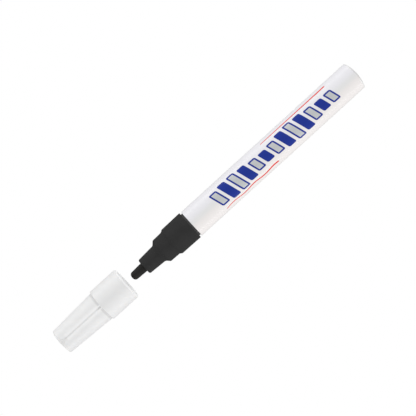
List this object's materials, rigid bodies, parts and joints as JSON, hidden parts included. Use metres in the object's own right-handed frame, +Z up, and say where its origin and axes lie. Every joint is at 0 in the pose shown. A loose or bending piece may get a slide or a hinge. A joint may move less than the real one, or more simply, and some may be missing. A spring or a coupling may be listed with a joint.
{
  "type": "paint marker",
  "caption": "Valve-action paint marker: tube barrel, stepped nose whose bullet nib presses back against a spring valve, loose mixing ball, and a stepped pull-off cap with an inner liner.",
  "frame": {"origin": "middle of the whole length, under the axis, on the surface that the cap's skirt lies on", "axes": "+X along the marker's axis, from the cap and nib towards the barrel's closed end; +Z up"},
  "size_m": [0.1784, 0.0162, 0.0161],
  "materials": {
    "white_lacquer": "gloss",
    "seal_rubber": "matte",
    "black_plastic": "satin",
    "nib_fibre": "matte",
    "valve_plastic": "satin",
    "spring_steel": "satin",
    "ball_steel": "polished",
    "cap_plastic": "satin",
    "liner_plastic": "satin"
  },
  "bodies": {
    "barrel": {"barrel": "white_lacquer", "front_section": "black_plastic", "barrel_seal": "seal_rubber", "valve_seat": "valve_plastic", "valve_seal": "seal_rubber", "valve_spring": "spring_steel", "valve_cage": "valve_plastic"},
    "cap": {"cap": "cap_plastic", "cap_liner": "liner_plastic"},
    "nib": {"nib": "nib_fibre"},
    "valve_stem": {"valve_stem": "valve_plastic"},
    "mixing_ball": {"mixing_ball": "ball_steel"}
  },
  "joints": [
    {"name": "cap_slide", "type": "slide", "parent": "barrel", "child": "cap", "axis": [1, 0, 0], "range_m": [0, 0.0405]},
    {"name": "nib_press", "type": "slide", "parent": "barrel", "child": "nib", "axis": [1, 0, 0], "range_m": [0, 0.002], "stiffness_N_per_m": 1500},
    {"name": "valve_stem_slide", "type": "slide", "parent": "barrel", "child": "valve_stem", "axis": [1, 0, 0], "range_m": [0, 0.002], "deforming": ["valve_spring"]},
    {"name": "ball_roll", "type": "slide", "parent": "barrel", "child": "mixing_ball", "axis": [-1, 0, 0], "range_m": [0, 0.0753]}
  ],
  "couplings": [
    {"joint": "valve_stem_slide", "follows": "nib_press", "ratio": 1}
  ]
}
